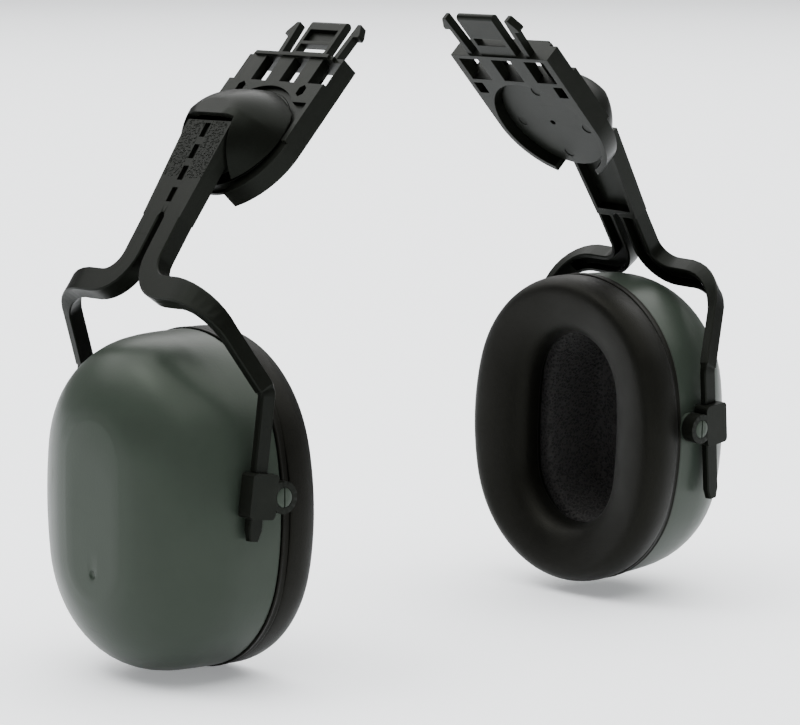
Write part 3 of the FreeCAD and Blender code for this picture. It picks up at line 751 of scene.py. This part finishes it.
# ------------------------------------------------------------------ repeated detail by Geometry Nodes
def stipple_tree():
    """Low bumps scattered over a rectangle: the spark-eroded grip patch on the arm's outer face."""
    tree = bpy.data.node_groups.new("grip stipple", "GeometryNodeTree")
    for label, kind, default in (("Wide", "NodeSocketFloat", 0.006), ("Long", "NodeSocketFloat", 0.012),
                                 ("Per square metre", "NodeSocketFloat", 2.2e6),
                                 ("Bump radius", "NodeSocketFloat", 0.00028), ("Seed", "NodeSocketInt", 4)):
        socket = tree.interface.new_socket(name=label, in_out="INPUT", socket_type=kind)
        socket.default_value = default
    tree.interface.new_socket(name="Finish", in_out="INPUT", socket_type="NodeSocketMaterial")
    tree.interface.new_socket(name="Geometry", in_out="OUTPUT", socket_type="NodeSocketGeometry")
    given = tree.nodes.new("NodeGroupInput").outputs
    out = tree.nodes.new("NodeGroupOutput").inputs
    grid = add(tree, "GeometryNodeMeshGrid")
    link(tree, given["Wide"], grid.inputs["Size X"])
    link(tree, given["Long"], grid.inputs["Size Y"])
    grid.inputs["Vertices X"].default_value = 6
    grid.inputs["Vertices Y"].default_value = 12
    points = add(tree, "GeometryNodeDistributePointsOnFaces")
    link(tree, grid.outputs["Mesh"], points.inputs["Mesh"])
    link(tree, given["Per square metre"], points.inputs["Density"])
    link(tree, given["Seed"], points.inputs["Seed"])
    ball = add(tree, "GeometryNodeMeshIcoSphere")
    ball.inputs["Subdivisions"].default_value = 2
    link(tree, given["Bump radius"], ball.inputs["Radius"])
    flat = add(tree, "GeometryNodeTransform")
    flat.inputs["Scale"].default_value = (1.0, 1.0, 0.45)
    link(tree, ball.outputs["Mesh"], flat.inputs["Geometry"])
    size = add(tree, "FunctionNodeRandomValue", data_type="FLOAT")
    size.inputs[2].default_value = 0.6
    size.inputs[3].default_value = 1.25
    link(tree, given["Seed"], size.inputs["Seed"])
    spread = add(tree, "GeometryNodeInstanceOnPoints")
    link(tree, points.outputs["Points"], spread.inputs["Points"])
    link(tree, flat.outputs["Geometry"], spread.inputs["Instance"])
    link(tree, size.outputs[1], spread.inputs["Scale"])
    real = add(tree, "GeometryNodeRealizeInstances")
    link(tree, spread.outputs["Instances"], real.inputs["Geometry"])
    finish = add(tree, "GeometryNodeSetMaterial")
    link(tree, real.outputs["Geometry"], finish.inputs["Geometry"])
    link(tree, given["Finish"], finish.inputs["Material"])
    link(tree, finish.outputs["Geometry"], out["Geometry"])
    return tree


STIPPLE = stipple_tree()


def grown(tree, name, values):
    """Mesh made by a Geometry Nodes tree; values are set by the name of each input."""
    work = temporary(bpy.data.meshes.new(name))
    modifier = work.modifiers.new("nodes", "NODES")
    modifier.node_group = tree
    for item in tree.interface.items_tree:
        if item.in_out == "INPUT" and item.name in values:
            modifier[item.identifier] = values[item.name]
    return settled(work, name)


def stipple_mesh(side):
    """Grip patch: a strip on each side of the arm's pockets, just under the cowl."""
    low, high = 12.5, arm_shoulder - 0.4
    parts = []
    for k, sign in enumerate((-1, 1)):
        inner = pocket_width / 2 + 0.5
        outer = arm_half_low + 0.45
        mesh = grown(STIPPLE, side + "_stipple", {"Wide": (outer - inner) * MM, "Long": (high - low) * MM,
                                                   "Seed": 11 + k, "Finish": MATERIALS["black_plastic"]})
        mesh.transform(Matrix.Scale(1 / MM, 4))
        mesh.transform(Matrix.Translation((sign * (inner + outer) / 2, (low + high) / 2, arm_thickness / 2)))
        mesh.transform(PLACES[side]["yoke"])
        parts.append(mesh)
    mesh = join_meshes(side + "_stipple", parts)
    for face in mesh.polygons:
        face.use_smooth = True
    return mesh


# ------------------------------------------------------------------ the pieces of each muff
SOLIDS = (("adapter", "adapters", 0.22), ("hub_base", "hub", 0.2), ("hub_cover", "cradle", 0.3),
          ("arm_cradle", "cradle", 0.15), ("yoke", "yoke", 0.25), ("clip_front", "clip_front", 0.3),
          ("clip_rear", "clip_rear", 0.3), ("backplate", "cup", 0.25))
for side in SIDES:
    cup_place = PLACES[side]["cup"]
    cup_body = side + "_cup"
    cushion = cushion_mesh(side + "_cushion", cup_place, 1.0)
    cushion = puffed(cushion, side + "_cushion", cup_place, 1.0)
    for face in cushion.polygons:
        face.use_smooth = True
    pad = piece(side + "_cushion", cushion, "cushion_skin", cup_body)
    rounding = pad.modifiers.new("rounding", "SUBSURF")
    rounding.levels = 1
    rounding.render_levels = 1
    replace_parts(pad, side + "_cushion_cover", side + "_cushion_foam")
    piece(side + "_flange", flange_mesh(side + "_flange", cup_place), "cushion_skin", cup_body)
    lining = piece(side + "_lining", foam_mesh(side + "_lining", cup_place), "foam", cup_body)
    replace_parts(lining, side + "_foam_insert")
    shell = piece(side + "_shell", shell_mesh(side + "_shell", cup_place), "grey_plastic", cup_body)
    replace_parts(shell, side + "_cup_shell")
    studs = join_meshes(side + "_studs", [stud_mesh(side + "_stud", k, cup_place) for k in (-1, 1)])
    piece(side + "_studs", studs, "grey_plastic", cup_body)
    for role, body, width in SOLIDS:
        moulding(side, role, "black_plastic", body if body == "adapters" else side + "_" + body, width)
    piece(side + "_stipple", stipple_mesh(side), "black_plastic", side + "_yoke")


# ------------------------------------------------------------------ floor, light, camera
target = Vector((-1.9, 0, -87.5)) * MM
view_azimuth = math.radians(-41.674)
view_elevation = math.radians(8.479)
view_distance = 0.95225
back = Vector((math.sin(view_azimuth) * math.cos(view_elevation),
               -math.cos(view_azimuth) * math.cos(view_elevation), math.sin(view_elevation)))
camera = bpy.data.objects.new("camera", bpy.data.cameras.new("camera"))
bpy.context.scene.collection.objects.link(camera)
camera.data.sensor_width = 36.0
camera.data.lens = 145.9
camera.data.clip_start = 0.05
camera.data.clip_end = 20.0
camera.location = target + back * view_distance
camera.rotation_mode = "QUATERNION"
camera.rotation_quaternion = (-back).to_track_quat("-Z", "Y")
bpy.context.scene.camera = camera

floor_z = CAD_BOX[0].z - 0.0003
floor_mesh = bpy.data.meshes.new("floor")
reach = 6.0
floor_mesh.from_pydata([(-reach, -reach, floor_z), (reach, -reach, floor_z),
                        (reach, reach, floor_z), (-reach, reach, floor_z)], [], [(0, 1, 2, 3)])
floor = bpy.data.objects.new("floor", floor_mesh)
bpy.context.scene.collection.objects.link(floor)
pale = bpy.data.materials.new("pale floor")
pale.use_nodes = True
pale_shader = pale.node_tree.nodes["Principled BSDF"]
pale_shader.inputs["Base Color"].default_value = (0.93, 0.95, 0.97, 1)
pale_shader.inputs["Roughness"].default_value = 0.7
pale_shader.inputs["Emission Color"].default_value = (0.96, 0.98, 1.0, 1)
pale_shader.inputs["Emission Strength"].default_value = 0.3
floor_mesh.materials.append(pale)


def soft_light(name, place, aim, size, power, colour=(1, 1, 1)):
    data = bpy.data.lights.new(name, "AREA")
    data.shape = "RECTANGLE"
    data.size, data.size_y = size
    data.energy = power
    data.color = colour
    lamp = bpy.data.objects.new(name, data)
    bpy.context.scene.collection.objects.link(lamp)
    lamp.location = place
    lamp.rotation_mode = "QUATERNION"
    lamp.rotation_quaternion = (Vector(aim) - Vector(place)).to_track_quat("-Z", "Y")
    return lamp


middle = (0, 0, -0.09)
soft_light("ceiling", (0.7, 0.9, 2.2), (0.7, 0.9, 0), (6.0, 6.0), 450)
soft_light("strip", (-0.5, 0.25, 0.75), middle, (0.5, 0.25), 3)
world = bpy.data.worlds.new("studio")
bpy.context.scene.world = world
world.use_nodes = True
world.node_tree.nodes["Background"].inputs["Color"].default_value = (1.0, 1.0, 1.0, 1)
world.node_tree.nodes["Background"].inputs["Strength"].default_value = 0.30
